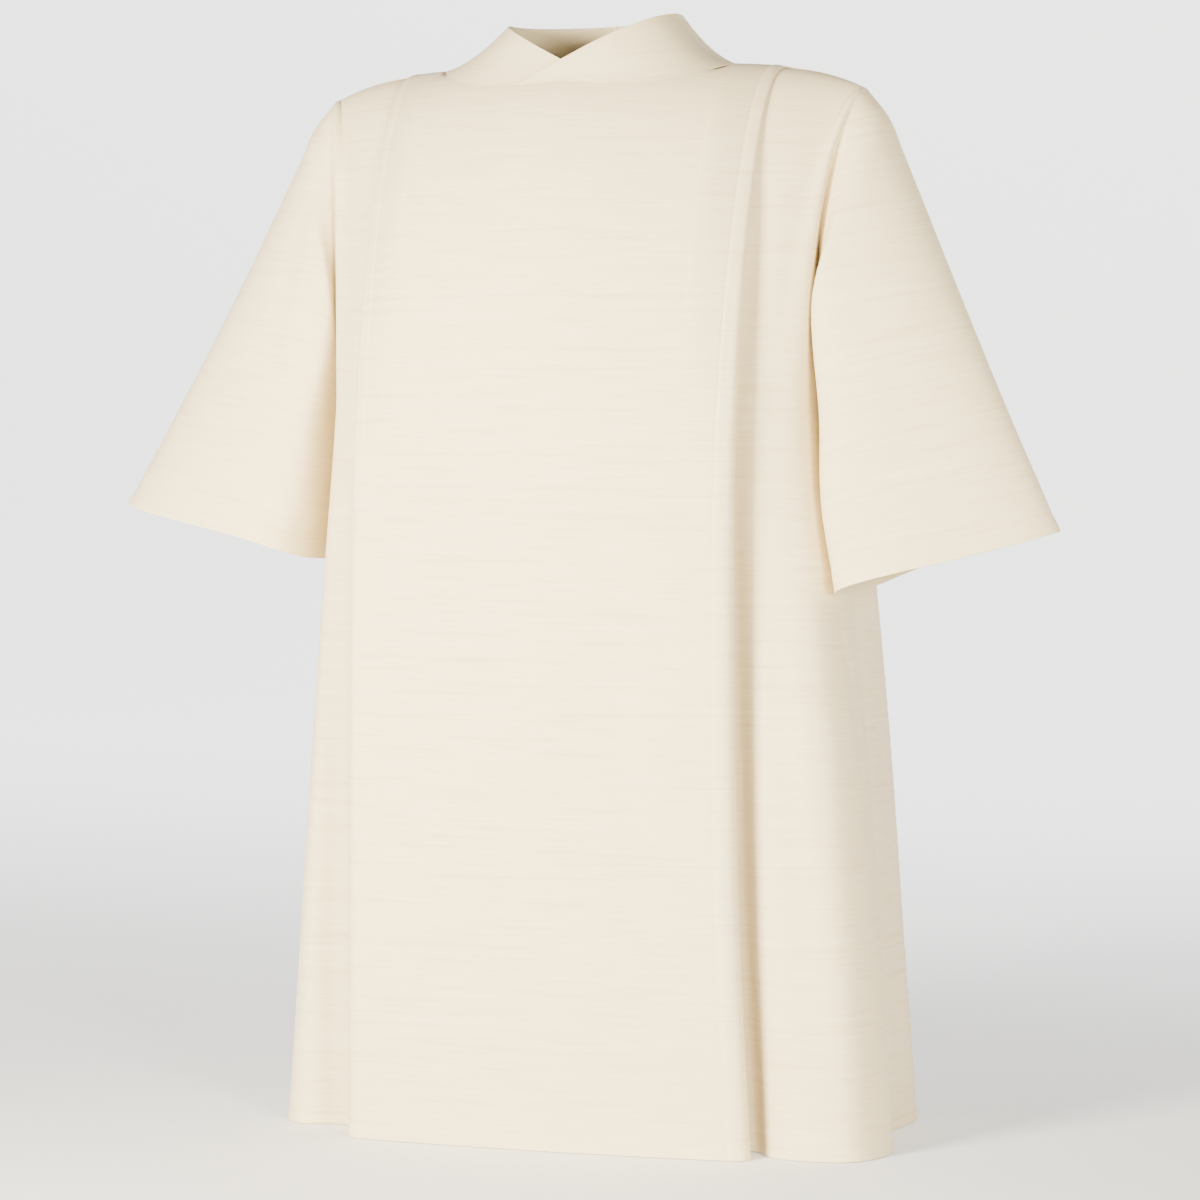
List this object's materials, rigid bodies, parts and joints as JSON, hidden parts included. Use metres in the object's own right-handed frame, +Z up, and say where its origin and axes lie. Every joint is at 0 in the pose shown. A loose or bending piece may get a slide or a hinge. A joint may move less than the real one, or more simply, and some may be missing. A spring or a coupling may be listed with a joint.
{
  "type": "wide-sleeved alb (dalmatic cut)",
  "caption": "Cream linen-look alb of dalmatic cut, filled out as worn: crossed funnel collar, pleated front panel, short wide open sleeves and a calf-length hem.",
  "frame": {"origin": "middle of the neck opening, at the height where the shoulder seams meet the collar", "axes": "+Z up, +X toward the wearer's left, the front faces -Y"},
  "size_m": [1.0214, 0.4186, 1.1638],
  "materials": {
    "vestment_cloth": "matte cream linen-look weave with fine slubs across"
  },
  "bodies": {
    "root": {"front": "vestment_cloth", "back": "vestment_cloth", "sleeve_left": "vestment_cloth", "sleeve_right": "vestment_cloth", "collar_left": "vestment_cloth", "collar_right": "vestment_cloth"}
  },
  "joints": []
}
